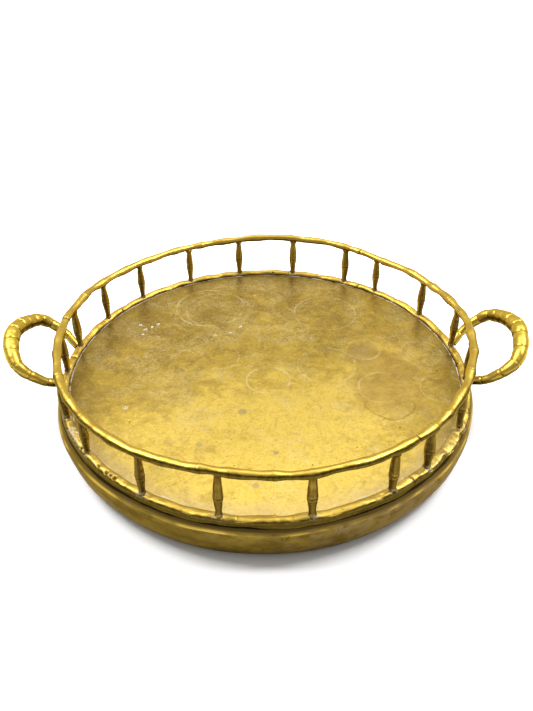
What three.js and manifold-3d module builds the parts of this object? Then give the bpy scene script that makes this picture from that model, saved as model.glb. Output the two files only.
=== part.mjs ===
// Round brass serving tray with a bamboo-pattern gallery and two loop handles.
// Millimetres, +Z up. The origin is on the ground under the middle of the pan.
import * as THREE from 'three';
import { mergeVertices } from 'three/addons/utils/BufferGeometryUtils.js';
import Module from 'manifold-3d';

// ---- driving dimensions ----
const FIT_GAP = 0.3;                 // clearance between pieces that touch

const FLOOR_Z = 36.6;                // top of the tray floor
const CLEAR_FLOOR_R = 140;           // flat floor that nothing overhangs
const SHEET = 1.2;                   // thickness of the spun sheet
const PAN_EDGE_R = 149.4;            // outside of the corner round the floor
const SHOULDER_R = 153.4;            // ridge below the cove
const SHOULDER_Z = 28.4;
const BELLY_R = 154.3;               // widest place of the side
const BELLY_Z = 26.6;
const FOOT_R = 140.5;                // where the side turns in to the ground
const FOOT_INNER_R = 131;            // edge of the turned-in foot

const GALLERY_R = 148;               // middle of both rails and of the balusters
const RAIL_CREST = 2.9;              // lower rail's height above the floor
const TOP_RAIL_Z = 71.7;             // middle height of the top rail
const TOP_RAIL_HALF_WIDTH = 3.1;
const TOP_RAIL_HALF_HEIGHT = 2.7;
const RAIL_WANDER = 0.7;             // how far the top rail strays from a true circle
const RAIL_SWELL = 0.14;             // share by which the bamboo canes swell
const CANE_LENGTH_DEG = 9.5;         // one cane of the rails, node to node

const SOCKET_DEPTH = 1.7;            // how far a baluster enters each rail
const SPIGOT_R = 1.9;                // baluster's ends
const BALUSTER_R = 3.1;              // baluster's widest place

const RIVET_R = 1.1;
const RIVET_HEAD_R = 1.5;
const RIVET_HEAD = 0.8;
const RIVET_RING_R = 146.2;          // rivets sit on the inner slope of the lower rail

const HANDLE_TILT = THREE.MathUtils.degToRad(38);
const HANDLE_ROOT_R = 149.9;         // handle's ends, measured from the middle
const HANDLE_ROOT_Z = 36.4;
const HANDLE_END_R = 3.1;
const HANDLE_GRIP_R = 5.9;
const HANDLE_OFF_AXIS_DEG = 2.5;     // both handles sit a little behind the X axis

// Each length of gallery: its seams and the places of its balusters, in degrees.
const GALLERY = [
  { from: 55.3, to: 175.3, balusters: [61, 80, 99, 117, 136, 152, 169], rivets: [87, 146] },
  { from: 175.3, to: 307.3, balusters: [182, 203, 219, 240, 259.5, 280.5, 301], rivets: [213, 272] },
  { from: 307.3, to: 415.3, balusters: [313, 332, 353, 370, 389, 409], rivets: [338, 361] },
];

// ---- how finely the round shapes are cut ----
const PAN_SIDES = 60;
const BELLY_STEPS = 5;
const RAIL_STEPS = 36;
const HANDLE_STEPS = 30;
const ROUND_SIDES = 8;

const wasm = await Module();
wasm.setup();

function brass(color, roughness) {
  return new THREE.MeshStandardMaterial({ color, roughness, metalness: 1 });
}

// ---- joining and cutting ----
function toSolid(geometry) {
  const bare = geometry.clone();
  bare.deleteAttribute('normal');
  bare.deleteAttribute('uv');
  const merged = mergeVertices(bare, 1e-4);
  const vertProperties = new Float32Array(merged.attributes.position.array);
  const triVerts = new Uint32Array(merged.index.array);
  return new wasm.Manifold(new wasm.Mesh({ numProp: 3, vertProperties, triVerts }));
}

function toGeometry(solid) {
  const mesh = solid.getMesh();
  const geometry = new THREE.BufferGeometry();
  geometry.setAttribute('position', new THREE.BufferAttribute(mesh.vertProperties, 3));
  geometry.setIndex(new THREE.BufferAttribute(mesh.triVerts, 1));
  geometry.computeVertexNormals();
  return geometry;
}

function cut(geometry, tools) {
  let solid = toSolid(geometry);
  for (const tool of tools) {
    solid = solid.subtract(toSolid(tool));
  }
  return toGeometry(solid);
}

// Turns the faces of a closed mesh outward where a sweep has left them inward.
function faceOutward(geometry) {
  const merged = mergeVertices(geometry, 1e-4);
  const position = merged.attributes.position;
  const index = merged.index.array;
  const [a, b, c] = [new THREE.Vector3(), new THREE.Vector3(), new THREE.Vector3()];
  let volume = 0;
  for (let i = 0; i < index.length; i += 3) {
    a.fromBufferAttribute(position, index[i]);
    b.fromBufferAttribute(position, index[i + 1]);
    c.fromBufferAttribute(position, index[i + 2]);
    volume += a.dot(b.cross(c));
  }
  if (volume < 0) {
    for (let i = 0; i < index.length; i += 3) {
      [index[i + 1], index[i + 2]] = [index[i + 2], index[i + 1]];
    }
  }
  return merged;
}

// ---- shapes ----
function revolve(points, segments) {
  const profile = points.map(([r, z]) => new THREE.Vector2(r, z));
  const geometry = new THREE.LatheGeometry(profile, segments);
  geometry.rotateX(Math.PI / 2);
  geometry.deleteAttribute('normal');
  geometry.deleteAttribute('uv');
  return faceOutward(geometry);
}

// A thin tube is extruded along the path, then each of its rings is grown about its
// own centre, so that the section can swell and taper on the way.
function sweep(path, steps, section, growthAt) {
  const thin = 0.01;
  const shape = new THREE.Shape(section.map(([x, y]) => new THREE.Vector2(x * thin, y * thin)));
  const geometry = new THREE.ExtrudeGeometry(shape, { steps, extrudePath: path, curveSegments: 1 });
  geometry.deleteAttribute('normal');
  geometry.deleteAttribute('uv');
  const stations = path.getSpacedPoints(steps);
  const position = geometry.attributes.position;
  const vertex = new THREE.Vector3();
  for (let i = 0; i < position.count; i += 1) {
    vertex.fromBufferAttribute(position, i);
    let nearest = 0;
    for (let k = 1; k <= steps; k += 1) {
      if (vertex.distanceToSquared(stations[k]) < vertex.distanceToSquared(stations[nearest])) {
        nearest = k;
      }
    }
    vertex.sub(stations[nearest]).multiplyScalar(growthAt(nearest / steps) / thin);
    vertex.add(stations[nearest]);
    position.setXYZ(i, vertex.x, vertex.y, vertex.z);
  }
  return faceOutward(geometry);
}

function oval(halfWidth, halfHeight, sides) {
  const points = [];
  for (let i = 0; i < sides; i += 1) {
    const angle = ((i + 0.5) / sides) * 2 * Math.PI;
    points.push([halfHeight * Math.cos(angle), halfWidth * Math.sin(angle)]);
  }
  return points;
}

function onCircle(radius, degrees, z) {
  const angle = THREE.MathUtils.degToRad(degrees);
  return new THREE.Vector3(radius * Math.cos(angle), radius * Math.sin(angle), z);
}

// ---- the gallery's lines ----
function topRailPoint(degrees) {
  const angle = THREE.MathUtils.degToRad(degrees);
  const radius = GALLERY_R + RAIL_WANDER * Math.sin(5 * angle + 0.6);
  const z = TOP_RAIL_Z + RAIL_WANDER * Math.sin(4 * angle + 2.1);
  return onCircle(radius, degrees, z);
}

class RailLine extends THREE.Curve {
  constructor(from, to, pointAt) {
    super();
    this.from = from;
    this.to = to;
    this.pointAt = pointAt;
  }

  getPoint(t, target = new THREE.Vector3()) {
    return target.copy(this.pointAt(this.from + (this.to - this.from) * t));
  }
}

function railLine(section, pointAt) {
  const halfSeam = THREE.MathUtils.radToDeg(FIT_GAP * 0.6 / GALLERY_R);
  return new RailLine(section.from + halfSeam, section.to - halfSeam, pointAt);
}

function caneSwell(degrees) {
  const phase = (degrees / CANE_LENGTH_DEG) * 2 * Math.PI;
  return 1 + RAIL_SWELL * Math.cos(phase);
}

// ---- pan ----
function panOutside() {
  const floorEdge = PAN_EDGE_R - 1;
  const points = [[0, FLOOR_Z], [CLEAR_FLOOR_R, FLOOR_Z], [floorEdge, FLOOR_Z]];
  points.push([PAN_EDGE_R - 0.3, FLOOR_Z - 0.4], [PAN_EDGE_R, FLOOR_Z - 1.4]);
  points.push([PAN_EDGE_R + 0.5, FLOOR_Z - 4.8], [PAN_EDGE_R + 1.9, FLOOR_Z - 7]);
  points.push([SHOULDER_R, SHOULDER_Z]);
  for (let i = 0; i <= BELLY_STEPS; i += 1) {
    const angle = (i / BELLY_STEPS) * Math.PI / 2;
    const r = FOOT_R + (BELLY_R - FOOT_R) * Math.cos(angle);
    points.push([r, BELLY_Z * (1 - Math.sin(angle))]);
  }
  return points;
}

// The sheet's inside follows its outside at the sheet's thickness, but keeps a square
// corner under the edge of the floor.
function panInside(outside) {
  const inside = [[0, FLOOR_Z - SHEET], [PAN_EDGE_R - 1.6, FLOOR_Z - SHEET]];
  for (let i = 3; i < outside.length - 1; i += 1) {
    const [r0, z0] = outside[i - 1];
    const [r1, z1] = outside[i + 1];
    const length = Math.hypot(r1 - r0, z1 - z0);
    const [r, z] = outside[i];
    inside.push([r + (z1 - z0) / length * SHEET, z - (r1 - r0) / length * SHEET]);
  }
  return inside;
}

function buildPan() {
  const outside = panOutside();
  const foot = [[FOOT_INNER_R, 0], [FOOT_INNER_R, SHEET], [FOOT_R - 0.4, SHEET]];
  return revolve([...outside, ...foot, ...panInside(outside).reverse()], PAN_SIDES);
}

// ---- rails ----
// The lower rail is half round, flat where it lies on the floor, and its lip hangs
// down over the corner of the pan.
const LOWER_SECTION = [
  [-3.2, FIT_GAP], [-3, 1.4], [-1.8, 2.4], [0, RAIL_CREST], [1.8, 2.4], [2.8, 1.2],
  [3.2, -2.3], [2.9, -2.7], [1.8, -2.7], [1.8, FIT_GAP],
];

// The sweep measures a section downward and inward.
function lowerSection() {
  return LOWER_SECTION.map(([out, up]) => [-up, -out]);
}

function buildLowerRail(section) {
  const line = railLine(section, (degrees) => onCircle(GALLERY_R, degrees, FLOOR_Z));
  return sweep(line, RAIL_STEPS, lowerSection(), () => 1);
}

function buildTopRail(section) {
  const line = railLine(section, topRailPoint);
  const shape = oval(TOP_RAIL_HALF_WIDTH, TOP_RAIL_HALF_HEIGHT, ROUND_SIDES);
  const swellAt = (t) => caneSwell(line.from + (line.to - line.from) * t);
  return sweep(line, RAIL_STEPS, shape, swellAt);
}

// ---- balusters ----
function balusterPlace(degrees) {
  const foot = onCircle(GALLERY_R, degrees, FLOOR_Z + RAIL_CREST);
  const top = topRailPoint(degrees);
  const along = top.clone().sub(foot);
  const length = along.length() - TOP_RAIL_HALF_HEIGHT;
  const turn = new THREE.Quaternion();
  turn.setFromUnitVectors(new THREE.Vector3(0, 0, 1), along.normalize());
  return { foot, turn, length };
}

function balusterProfile(length) {
  const node = 0.42 * length;
  return [
    [0, -SOCKET_DEPTH], [SPIGOT_R, -SOCKET_DEPTH], [SPIGOT_R + 0.2, 0.4],
    [BALUSTER_R - 0.5, node - 3], [BALUSTER_R, node - 0.5], [BALUSTER_R - 0.5, node + 0.4],
    [BALUSTER_R, node + 3], [BALUSTER_R - 0.4, 0.72 * length],
    [SPIGOT_R + 0.2, length - 1], [SPIGOT_R, length + SOCKET_DEPTH],
    [0, length + SOCKET_DEPTH],
  ];
}

function spindleHole(place) {
  const wide = SPIGOT_R + 0.2 + FIT_GAP;
  const low = -SOCKET_DEPTH - FIT_GAP;
  const high = place.length + SOCKET_DEPTH + FIT_GAP;
  const tool = revolve([[0, low], [wide, low], [wide, high], [0, high]], ROUND_SIDES);
  tool.applyQuaternion(place.turn);
  tool.translate(place.foot.x, place.foot.y, place.foot.z);
  return tool;
}

// ---- rivets that hold the lower rail to the pan ----
const RIVET_TOP = FLOOR_Z + 2.6;
const RIVET_FOOT = FLOOR_Z - SHEET - FIT_GAP;

function buildRivet(degrees) {
  const profile = [
    [0, RIVET_FOOT - RIVET_HEAD], [RIVET_HEAD_R * 0.7, RIVET_FOOT - RIVET_HEAD],
    [RIVET_HEAD_R, RIVET_FOOT], [RIVET_R, RIVET_FOOT],
    [RIVET_R, RIVET_TOP - 0.2], [RIVET_R * 0.6, RIVET_TOP], [0, RIVET_TOP],
  ];
  const rivet = revolve(profile, ROUND_SIDES);
  const spot = onCircle(RIVET_RING_R, degrees, 0);
  rivet.translate(spot.x, spot.y, 0);
  return rivet;
}

function rivetHole(degrees) {
  const wide = RIVET_R + FIT_GAP;
  const [low, high] = [FLOOR_Z - 5, FLOOR_Z + 6];
  const tool = revolve([[0, low], [wide, low], [wide, high], [0, high]], ROUND_SIDES);
  const spot = onCircle(RIVET_RING_R, degrees, 0);
  tool.translate(spot.x, spot.y, 0);
  return tool;
}

// ---- handles ----
// Outline of the loop in its own sloping plane: distance out from the roots, and
// half width at that distance.
const HANDLE_OUTLINE = [[0, 24], [13.5, 31], [33, 30], [46.5, 0]];

function handlePath() {
  const otherArm = HANDLE_OUTLINE.slice(0, -1).reverse().map(([out, half]) => [out, -half]);
  const points = [...HANDLE_OUTLINE, ...otherArm].map(([out, side]) => new THREE.Vector3(
    HANDLE_ROOT_R + out * Math.cos(HANDLE_TILT),
    side,
    HANDLE_ROOT_Z + out * Math.sin(HANDLE_TILT),
  ));
  return new THREE.CatmullRomCurve3(points, false, 'centripetal');
}

function buildHandle() {
  const gripAt = (t) => {
    const share = Math.sin(Math.PI * t) ** 1.8;
    return HANDLE_END_R + (HANDLE_GRIP_R - HANDLE_END_R) * share;
  };
  return sweep(handlePath(), HANDLE_STEPS, oval(1, 1, ROUND_SIDES), gripAt);
}

// Room that the rail and the pan take out of a handle's ends.
function railRoom() {
  const inner = GALLERY_R - 8;
  const outer = GALLERY_R + 3.2 + FIT_GAP;
  const low = FLOOR_Z - 2.7 - FIT_GAP;
  const high = FLOOR_Z + 12;
  const profile = [[inner, low], [outer, low], [outer, high], [inner, high], [inner, low]];
  return revolve(profile, 96);
}

function panRoom() {
  const points = panOutside().map(([r, z]) => [r + FIT_GAP, z]);
  points[0][0] = 0;
  return revolve([...points, [0, 0]], PAN_SIDES);
}

// ---- assembly ----
const BRIGHT = 0xc9a24a;
const WORN = 0xb48c3a;
const DULL = 0x8f7434;

const tray = new THREE.Group();

function addPiece(name, geometry, material) {
  const mesh = new THREE.Mesh(geometry, material);
  mesh.name = name;
  tray.add(mesh);
  return mesh;
}

const allRivets = GALLERY.flatMap((section) => section.rivets);
addPiece('pan', cut(buildPan(), allRivets.map(rivetHole)), brass(DULL, 0.45));

let balusterNumber = 0;
let rivetNumber = 0;
GALLERY.forEach((section, i) => {
  const places = section.balusters.map(balusterPlace);
  const spindleHoles = places.map(spindleHole);
  const lowerHoles = [...spindleHoles, ...section.rivets.map(rivetHole)];
  addPiece(`lower_rail_${i + 1}`, cut(buildLowerRail(section), lowerHoles), brass(WORN, 0.35));
  addPiece(`top_rail_${i + 1}`, cut(buildTopRail(section), spindleHoles), brass(BRIGHT, 0.28));
  for (const place of places) {
    balusterNumber += 1;
    const geometry = revolve(balusterProfile(place.length), ROUND_SIDES);
    const mesh = addPiece(`baluster_${balusterNumber}`, geometry, brass(WORN, 0.4));
    mesh.quaternion.copy(place.turn);
    mesh.position.copy(place.foot);
  }
  for (const degrees of section.rivets) {
    rivetNumber += 1;
    addPiece(`rail_rivet_${rivetNumber}`, buildRivet(degrees), brass(WORN, 0.4));
  }
});

const room = [railRoom(), panRoom()];
const handles = [['handle_right', HANDLE_OFF_AXIS_DEG], ['handle_left', 180 - HANDLE_OFF_AXIS_DEG]];
for (const [name, degrees] of handles) {
  const loop = buildHandle();
  loop.rotateZ(THREE.MathUtils.degToRad(degrees));
  addPiece(name, cut(loop, room), brass(BRIGHT, 0.25));
}

export default tray;
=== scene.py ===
# Aged brass gallery tray: a spun pan, cast bamboo-pattern rails, balusters and loop handles.
# Shapes are worked out in millimetres and scaled to metres when a mesh is made.
import math

import bpy
import numpy as np
from mathutils import Matrix, Vector


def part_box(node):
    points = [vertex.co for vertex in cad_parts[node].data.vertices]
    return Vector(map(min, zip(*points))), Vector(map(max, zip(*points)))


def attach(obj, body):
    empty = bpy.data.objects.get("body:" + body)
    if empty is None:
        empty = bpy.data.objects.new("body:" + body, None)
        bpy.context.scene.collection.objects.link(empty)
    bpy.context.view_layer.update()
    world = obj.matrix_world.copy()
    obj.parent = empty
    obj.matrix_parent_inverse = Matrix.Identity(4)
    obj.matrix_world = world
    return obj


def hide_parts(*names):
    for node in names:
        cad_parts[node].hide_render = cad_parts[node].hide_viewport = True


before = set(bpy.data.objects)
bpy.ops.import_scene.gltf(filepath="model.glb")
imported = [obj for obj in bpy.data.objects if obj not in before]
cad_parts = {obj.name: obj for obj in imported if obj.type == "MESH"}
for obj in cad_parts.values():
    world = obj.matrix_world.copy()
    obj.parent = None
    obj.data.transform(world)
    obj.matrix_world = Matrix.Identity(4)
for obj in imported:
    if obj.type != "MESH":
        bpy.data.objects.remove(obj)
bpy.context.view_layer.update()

MM = 0.001
TAU = 2 * math.pi
UP = np.array([0.0, 0.0, 1.0])


# ---------------------------------------------------------------- sizes from the frame
def box_mm(node):
    low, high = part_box(node)
    return np.array(low) / MM, np.array(high) / MM


def cad_points(node):
    return np.array([v.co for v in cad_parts[node].data.vertices]) / MM


BELLY_R, _, FLOOR_Z = box_mm("pan")[1]

# Sizes that the frame doesn't give, in mm, as in the design. Only the gap at the seams is
# tighter, and the right handle's outline a little larger.
PAN_EDGE_R = 149.4
SHOULDER_R = 153.4
SHOULDER_Z = 28.4
BELLY_Z = 26.6
FOOT_R = 140.5
FOOT_INNER_R = 131.0
SHEET = 1.2
SIDES_ROUND_PAN = 540
GALLERY_R = 148.0
TOP_RAIL_Z = 71.7
TOP_RAIL_HALF_WIDTH = 3.1
TOP_RAIL_HALF_HEIGHT = 2.7
RAIL_WANDER = 0.7
RAIL_STEP = 0.7
SECTIONS = 3
SEAMS_DEG = [55.3, 175.3, 307.3, 415.3]
SEAM_GAP = 0.16
BALUSTERS = 20
TENON = 1.7
RIVETS = 6
HANDLE_TILT = math.radians(38)
HANDLE_ROOT_R = 149.9
HANDLE_ROOT_Z = 36.4
HANDLE_END_R = 3.1
HANDLE_GRIP_R = 5.9
HANDLE_OFF_AXIS_DEG = 2.5
# Half of each loop, from its back end to its tip: outwards along the slope, and sideways.
HANDLE_OUTLINE = {
    "right": [(0, 24.6), (13.8, 32.6), (34.6, 31.4), (48.2, 0)],
    "left": [(0, 24), (13.5, 31), (33, 30), (46.5, 0)],
}
# At the front the lower rail is squashed, and has slid this far out over the corner.
FRONT_OUT = 2.0
FRONT_DEG = 270
FRONT_RIGHT_DEG = -38


# ---------------------------------------------------------------- small tools
def smoothstep(low, high, value):
    t = np.clip((value - low) / (high - low), 0, 1)
    return t * t * (3 - 2 * t)


def bump(distance, width):
    return np.exp(-((distance / width) ** 2))


def wobble(points, wavelength, seed, waves=7):
    """Smooth random number about -1 to 1 at each point, with features of that wavelength."""
    rng = np.random.default_rng(seed)
    total = np.zeros(points.shape[:-1])
    for _ in range(waves):
        direction = rng.normal(size=3)
        direction *= rng.uniform(0.6, 1.5) / np.linalg.norm(direction)
        phase = rng.uniform(0, TAU)
        total += np.sin(points @ direction * TAU / wavelength + phase)
    return total / math.sqrt(waves)


def on_circle(radius, angle, z):
    angle = np.asarray(angle, float)
    return np.stack([radius * np.cos(angle), radius * np.sin(angle), z + 0 * angle], -1)


def radial(angles):
    return on_circle(1.0, angles, 0.0)


def degrees_from(angles, degrees):
    """How far round each angle is from a direction, -180 to 180."""
    return (np.degrees(angles) - degrees + 180) % 360 - 180


def nearness_to_front(angles):
    return bump(degrees_from(angles, FRONT_DEG), 36)


def arc_points(points, steps):
    """The chain of straight lines through the points, cut into even steps."""
    points = np.array(points, float)
    length = np.concatenate([[0], np.cumsum(np.linalg.norm(np.diff(points, axis=0), axis=1))])
    at = np.linspace(0, length[-1], steps)
    return np.stack([np.interp(at, length, points[:, i]) for i in range(2)], -1)


def closed_faces(points):
    """Faces of a closed tube given as rings x sides x 3, its ends capped, all facing out."""
    rings, sides = points.shape[:2]
    i = np.arange(rings - 1)[:, None] * sides
    j = np.arange(sides)[None, :]
    k = (j + 1) % sides
    quads = np.stack([i + j, i + k, i + sides + k, i + sides + j], -1).reshape(-1, 4)
    caps = [np.arange(sides)[::-1], np.arange((rings - 1) * sides, rings * sides)]
    flat = points.reshape(-1, 3) - points.reshape(-1, 3).mean(0)
    a, b, c, d = (flat[quads[:, n]] for n in range(4))
    volume = (a * np.cross(b, c)).sum() + (a * np.cross(c, d)).sum()
    for cap in caps:
        volume += (flat[cap[0]] * np.cross(flat[cap[1:-1]], flat[cap[2:]])).sum()
    faces = quads.tolist() + [cap.tolist() for cap in caps]
    return faces if volume > 0 else [face[::-1] for face in faces]


def make_piece(name, points, material, node, dirt=0.0, tone=0.5, residue=0.0):
    """A smooth-shaded mesh that stands for a CAD node and rides on the one body.

    points is rings x sides x 3. The material reads three numbers at each point: dirt is the
    grime in grooves, and on the balusters also painted shade down their sides; tone is how
    dull the brass is, and at the front of the lower rail also painted shade; residue is dried
    polish left behind.
    """
    faces = closed_faces(points)
    shape = points.shape[:2]
    mesh = bpy.data.meshes.new(name)
    mesh.from_pydata((points.reshape(-1, 3) * MM).tolist(), [], faces)
    mesh.validate()
    mesh.update()
    mesh.polygons.foreach_set("use_smooth", [True] * len(mesh.polygons))
    for label, values in (("groove", dirt), ("tone", tone), ("residue", residue)):
        layer = mesh.attributes.new(label, "FLOAT", "POINT")
        spread = np.broadcast_to(np.clip(values, 0, 1), shape).astype(np.float32)
        layer.data.foreach_set("value", spread.reshape(-1))
    piece = bpy.data.objects.new(name, mesh)
    bpy.context.scene.collection.objects.link(piece)
    mesh.materials.append(material)
    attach(piece, "root")
    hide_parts(node)
    return piece


def tube(centres, first, second, radius_first, radius_second, sides, relief):
    """Rings about a line in the plane of two directions, then relief pushed out of the surface."""
    theta = np.arange(sides) / sides * TAU
    along_first = np.cos(theta)[None, :] * np.reshape(radius_first, (-1, 1))
    along_second = np.sin(theta)[None, :] * np.reshape(radius_second, (-1, 1))
    points = centres[:, None, :] + along_first[..., None] * first[:, None, :]
    points = points + along_second[..., None] * second[:, None, :]
    away = points - centres[:, None, :]
    away = away / np.linalg.norm(away, axis=2, keepdims=True)
    for height, wavelength, seed in relief:
        points = points + away * (height * wobble(points, wavelength, seed))[..., None]
    return points


# ---------------------------------------------------------------- materials
class Maker:
    """Short names for the shader nodes that the brass materials share."""

    def __init__(self, name):
        self.material = bpy.data.materials.new(name)
        self.material.use_nodes = True
        self.tree = self.material.node_tree
        self.shader = self.tree.nodes["Principled BSDF"]
        self.place = self.tree.nodes.new("ShaderNodeTexCoord").outputs["Object"]
        self.normal = self.tree.nodes.new("ShaderNodeNewGeometry").outputs["Normal"]

    def link(self, value, socket):
        if isinstance(value, bpy.types.NodeSocket):
            self.tree.links.new(value, socket)
        else:
            socket.default_value = value

    def math(self, operation, a, b=0.0, clamp=False):
        node = self.tree.nodes.new("ShaderNodeMath")
        node.operation = operation
        node.use_clamp = clamp
        self.link(a, node.inputs[0])
        self.link(b, node.inputs[1])
        return node.outputs[0]

    def add(self, *terms):
        total = terms[0]
        for term in terms[1:]:
            total = self.math("ADD", total, term)
        return total

    def times(self, *factors):
        product = factors[0]
        for factor in factors[1:]:
            product = self.math("MULTIPLY", product, factor)
        return product

    def most(self, a, b):
        return self.math("MAXIMUM", a, b)

    def about(self, value, middle, gain):
        """How far a value is from a middle, times a gain."""
        return self.times(self.math("SUBTRACT", value, middle), gain)

    def ramp(self, value, low, high, out_low=0.0, out_high=1.0):
        node = self.tree.nodes.new("ShaderNodeMapRange")
        node.interpolation_type = "SMOOTHSTEP"
        numbers = (value, low, high, out_low, out_high)
        for label, number in zip(("Value", "From Min", "From Max", "To Min", "To Max"), numbers):
            self.link(number, node.inputs[label])
        return node.outputs["Result"]

    def mix(self, factor, a, b):
        node = self.tree.nodes.new("ShaderNodeMix")
        node.data_type = "RGBA"
        self.link(factor, node.inputs[0])
        self.link(a, node.inputs[6])
        self.link(b, node.inputs[7])
        return node.outputs[2]

    def stretch(self, scale, turn=0.0):
        node = self.tree.nodes.new("ShaderNodeMapping")
        self.link(self.place, node.inputs["Vector"])
        node.inputs["Scale"].default_value = scale
        node.inputs["Rotation"].default_value = (0, 0, turn)
        return node.outputs["Vector"]

    def noise(self, size_mm, detail=3.0, rough=0.55, vector=None, distortion=0.0):
        node = self.tree.nodes.new("ShaderNodeTexNoise")
        self.link(vector or self.place, node.inputs["Vector"])
        node.inputs["Scale"].default_value = 1 / (size_mm * MM)
        node.inputs["Detail"].default_value = detail
        node.inputs["Roughness"].default_value = rough
        node.inputs["Distortion"].default_value = distortion
        return node.outputs["Fac"]

    def pits(self, size_mm, share, radius):
        """Small round holes: 1 inside a pit, for that share of the cells."""
        node = self.tree.nodes.new("ShaderNodeTexVoronoi")
        self.link(self.place, node.inputs["Vector"])
        node.inputs["Scale"].default_value = 1 / (size_mm * MM)
        chosen = self.math("LESS_THAN", self.split(node.outputs["Color"])[0], share)
        return self.times(self.ramp(node.outputs["Distance"], radius, radius * 0.5), chosen)

    def attribute(self, label):
        node = self.tree.nodes.new("ShaderNodeAttribute")
        node.attribute_name = label
        return node.outputs["Fac"]

    def split(self, vector):
        node = self.tree.nodes.new("ShaderNodeSeparateXYZ")
        self.link(vector, node.inputs[0])
        return node.outputs

    def inward(self):
        """How straight a surface faces the middle of the tray: -1 straight away to 1."""
        place, normal = self.split(self.place), self.split(self.normal)
        out = self.add(self.times(place[0], normal[0]), self.times(place[1], normal[1]))
        return self.math("DIVIDE", out, self.times(self.distance(place, 0, 0), -1.0))

    def distance(self, axes, x_mm, y_mm):
        """Distance of a place from an upright line."""
        dx = self.math("SUBTRACT", axes[0], x_mm * MM)
        dy = self.math("SUBTRACT", axes[1], y_mm * MM)
        return self.math("SQRT", self.add(self.times(dx, dx), self.times(dy, dy)))

    def bump(self, height, distance_mm, strength=1.0, after=None):
        node = self.tree.nodes.new("ShaderNodeBump")
        node.inputs["Strength"].default_value = strength
        node.inputs["Distance"].default_value = distance_mm * MM
        self.link(height, node.inputs["Height"])
        if after is not None:
            self.link(after, node.inputs["Normal"])
        return node.outputs["Normal"]

    def finish(self, colour, roughness, normal, metallic=1.0):
        self.link(colour, self.shader.inputs["Base Color"])
        self.link(roughness, self.shader.inputs["Roughness"])
        self.link(normal, self.shader.inputs["Normal"])
        self.link(metallic, self.shader.inputs["Metallic"])
        self.shader.inputs["Specular Tint"].default_value = EDGE_TINT
        return self.material


# The lights are strong enough to make the ground pale. Every colour is dimmed by this much
# to make up for it, so the colours are darker than the brass itself.
DIMMED = 0.61


def dimmed(red, green, blue):
    return (red * DIMMED, green * DIMMED, blue * DIMMED, 1)


BRIGHT = dimmed(0.91, 0.62, 0.105)
GOLD = dimmed(0.78, 0.515, 0.085)
OLIVE = dimmed(0.50, 0.335, 0.058)
BROWN = dimmed(0.22, 0.140, 0.026)
# The two darkest colours serve painted shade under the cast pieces and at the bottom of the side, painted
# shadow in the gap under the lower rail, and real tarnish and grime.
DARK_TARNISH_AND_SHADE = dimmed(0.085, 0.055, 0.008)
GRIME_AND_SHADE = dimmed(0.028, 0.019, 0.007)
CHALK = dimmed(1.08, 0.87, 0.40)
DRIED_POLISH = dimmed(0.72, 0.70, 0.66)
# Brass stays yellow where it is seen edge on.
EDGE_TINT = (0.92, 0.77, 0.50, 1)


def cast_brass(name, top, middle, under, shade_at, roughness, inward_painted_light=0.0):
    """Cast pieces: bright on top, brown below, grime in the grooves.

    The brown below is painted shade, with some tarnish in it, and the bright top is a painted
    highlight. Both are set by the way a surface faces.

    shade_at is how far up a surface must face to be bright: not at all below the first number,
    wholly above the second. The last argument is how much further down the bright part reaches on
    the side that faces the middle of the tray, as a painted reflection, and how much less outside.
    """
    m = Maker(name)
    patches = m.noise(15, 3, 0.5)
    mottle = m.noise(2.4, 4, 0.6)
    fine = m.noise(0.7, 3, 0.6)
    up = m.split(m.normal)[2]
    # Painted shade below, a painted highlight on top, and a painted reflection on the inner side.
    upness = m.add(up, m.about(patches, 0.5, 0.45), m.about(mottle, 0.5, 0.22))
    upness = m.add(upness, m.times(m.inward(), inward_painted_light))
    shade = m.ramp(upness, shade_at[0], shade_at[1], 1.0, 0.0)
    upper_colour = m.mix(m.ramp(patches, 0.36, 0.64), middle, top)
    upper_colour = m.mix(m.ramp(mottle, 0.48, 0.72, 0.0, 0.24), upper_colour, OLIVE)
    colour = m.mix(m.times(m.attribute("tone"), 0.6), upper_colour, OLIVE)
    colour = m.mix(m.times(shade, m.ramp(mottle, 0.3, 0.7, 1.0, 0.86)), colour, under)
    colour = m.mix(m.ramp(fine, 0.45, 0.70, 0.0, 0.10), colour, BROWN)
    pit = m.pits(4.5, 0.12, 0.09)
    dirt = m.most(m.times(m.attribute("groove"), m.ramp(mottle, 0.3, 0.6, 0.6, 1.0)), pit)
    colour = m.mix(m.times(dirt, 0.85), colour, GRIME_AND_SHADE)
    residue = m.times(m.attribute("residue"), m.ramp(m.noise(1.8, 4, 0.65), 0.47, 0.56))
    colour = m.mix(m.times(residue, 0.8), colour, DRIED_POLISH)
    rough = m.ramp(mottle, 0.3, 0.75, roughness - 0.03, roughness + 0.08)
    rough = m.math("ADD", rough, m.times(m.add(dirt, residue), 0.3), clamp=True)
    normal = m.bump(m.noise(6, 2, 0.5), 0.10, 0.5)
    normal = m.bump(m.add(m.times(dirt, -1.0), residue), 0.20, 0.7, normal)
    return m.finish(colour, rough, normal, m.ramp(residue, 0.2, 0.8, 1.0, 0.3))


# Pale ring marks on the floor: centre, radius and strength, in mm.
RING_MARKS = [
    (-47, 88, 29, 0.9), (-40, 84, 27, 0.5), (2, -15, 16, 1.0), (47, 3, 22, 0.8), (-35, 14, 15, 0.6),
    (77, 23, 13, 0.7), (86, -25, 18, 0.6), (121, 18, 16, 0.9), (51, 78, 26, 0.6), (129, -26, 16, 0.5),
    (-63, 15, 9, 0.5),
]
# Flecks of dried polish on the floor: place and size.
FLECKS = [
    (-98, 54, 1.7), (-88.5, 62, 1.4), (-103, 61, 1.3), (-99, 47, 1.0), (-93, 58, 1.0), (-20, 57, 1.5),
    (-40, 45, 1.3), (-28, 49, 1.0), (-9, 108, 0.8), (-98, -46, 1.6), (-93, 15, 1.1), (2, -54, 0.8),
]
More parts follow.
